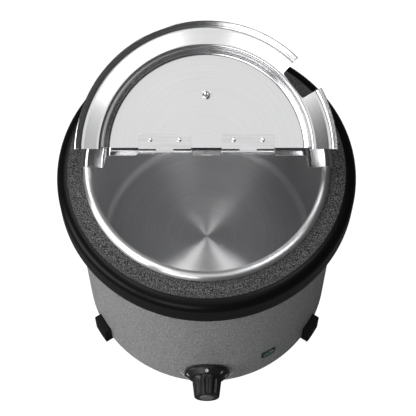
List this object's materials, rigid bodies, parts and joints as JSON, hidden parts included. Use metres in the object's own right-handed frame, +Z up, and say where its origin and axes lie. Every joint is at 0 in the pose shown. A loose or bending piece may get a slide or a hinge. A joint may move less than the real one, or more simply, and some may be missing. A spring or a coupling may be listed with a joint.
{
  "type": "soup kettle",
  "caption": "Round wet-heat soup kettle: painted casing on block feet, wide collar, lift-out steel pot, split hinged lid with ladle notch, thermostat knob and lamp.",
  "frame": {"origin": "on the floor, on the kettle's vertical axis", "axes": "+Z up, front with the control knob towards -Y, +X to the right seen from the front"},
  "size_m": [0.34, 0.378, 0.4466],
  "materials": {
    "casing_paint": "graphite hammered paint, satin",
    "collar_paint": "black hammered paint, semi-gloss",
    "stainless": "brushed stainless steel",
    "lid_steel": "bright satin stainless steel",
    "tank_steel": "plain stainless steel",
    "zinc_steel": "zinc-plated steel",
    "hardware": "bright nickel-plated steel",
    "heat_aluminium": "machined aluminium",
    "element_sheath": "heat-tinted steel sheath",
    "foot_plastic": "black moulded plastic",
    "control_plastic": "black moulded plastic, fine grain",
    "knob_phenolic": "black phenolic, polished",
    "cap_silver": "silver-grey satin cap",
    "gland_plastic": "black polyamide",
    "seal_rubber": "black rubber",
    "gasket_silicone": "red silicone",
    "lens_green": "dark green translucent lens",
    "lamp_body": "pale heat-resistant plastic",
    "ceramic": "white steatite",
    "insulation": "glass-fibre blanket",
    "copper": "copper capillary",
    "lead_insulation": "silicone-insulated leads"
  },
  "bodies": {
    "base": {"outer_casing": "casing_paint", "collar": "collar_paint", "well_tank": "tank_steel", "well_gasket": "gasket_silicone", "base_plate": "zinc_steel", "foot_left": "foot_plastic", "foot_right": "foot_plastic", "foot_rear": "foot_plastic", "foot_screws": "zinc_steel", "collar_screws": "zinc_steel", "well_screws": "zinc_steel", "heat_plate": "heat_aluminium", "heating_element": "element_sheath", "element_clamp": "zinc_steel", "heat_shield": "tank_steel", "tie_stud": "zinc_steel", "clamp_nut": "zinc_steel", "base_nut": "zinc_steel", "insulation_jacket": "insulation", "thermostat": "zinc_steel", "thermostat_plate": "zinc_steel", "thermostat_screws": "zinc_steel", "capillary_bulb": "copper", "thermal_cutout": "knob_phenolic", "terminal_block": "ceramic", "internal_leads": "lead_insulation", "indicator_bezel": "control_plastic", "indicator_lens": "lens_green", "indicator_lamp": "lamp_body", "gland_body": "gland_plastic", "gland_nut": "gland_plastic", "gland_seal": "seal_rubber", "gland_locknut": "gland_plastic"},
    "control": {"dial_skirt": "control_plastic", "control_knob": "control_plastic", "knob_cap": "cap_silver", "thermostat_shaft": "hardware"},
    "pot": {"soup_pot": "stainless"},
    "lid_rear_half": {"lid_rear": "lid_steel", "rear_leaf_left": "hardware", "rear_leaf_right": "hardware", "hinge_pin_left": "hardware", "hinge_pin_right": "hardware", "rear_rivets": "hardware"},
    "lid_front_half": {"lid_front": "lid_steel", "front_leaf_left": "hardware", "front_leaf_right": "hardware", "front_rivets": "hardware", "lid_knob": "knob_phenolic", "lid_knob_screw": "hardware", "lid_knob_washer": "hardware"}
  },
  "joints": [
    {"name": "control_turn", "type": "hinge", "parent": "base", "child": "control", "pos_m": [0, -0.16, 0.046], "axis": [0, 1, 0], "range_deg": [0, 270]},
    {"name": "pot_lift", "type": "slide", "parent": "base", "child": "pot", "axis": [0, 0, 1], "range_m": [0, 0.22]},
    {"name": "lid_lift", "type": "slide", "parent": "pot", "child": "lid_rear_half", "axis": [0, 0, 1], "range_m": [0, 0.12]},
    {"name": "lid_hinge", "type": "hinge", "parent": "lid_rear_half", "child": "lid_front_half", "pos_m": [0, 0, 0.3455], "axis": [1, 0, 0], "range_deg": [0, 150]}
  ]
}
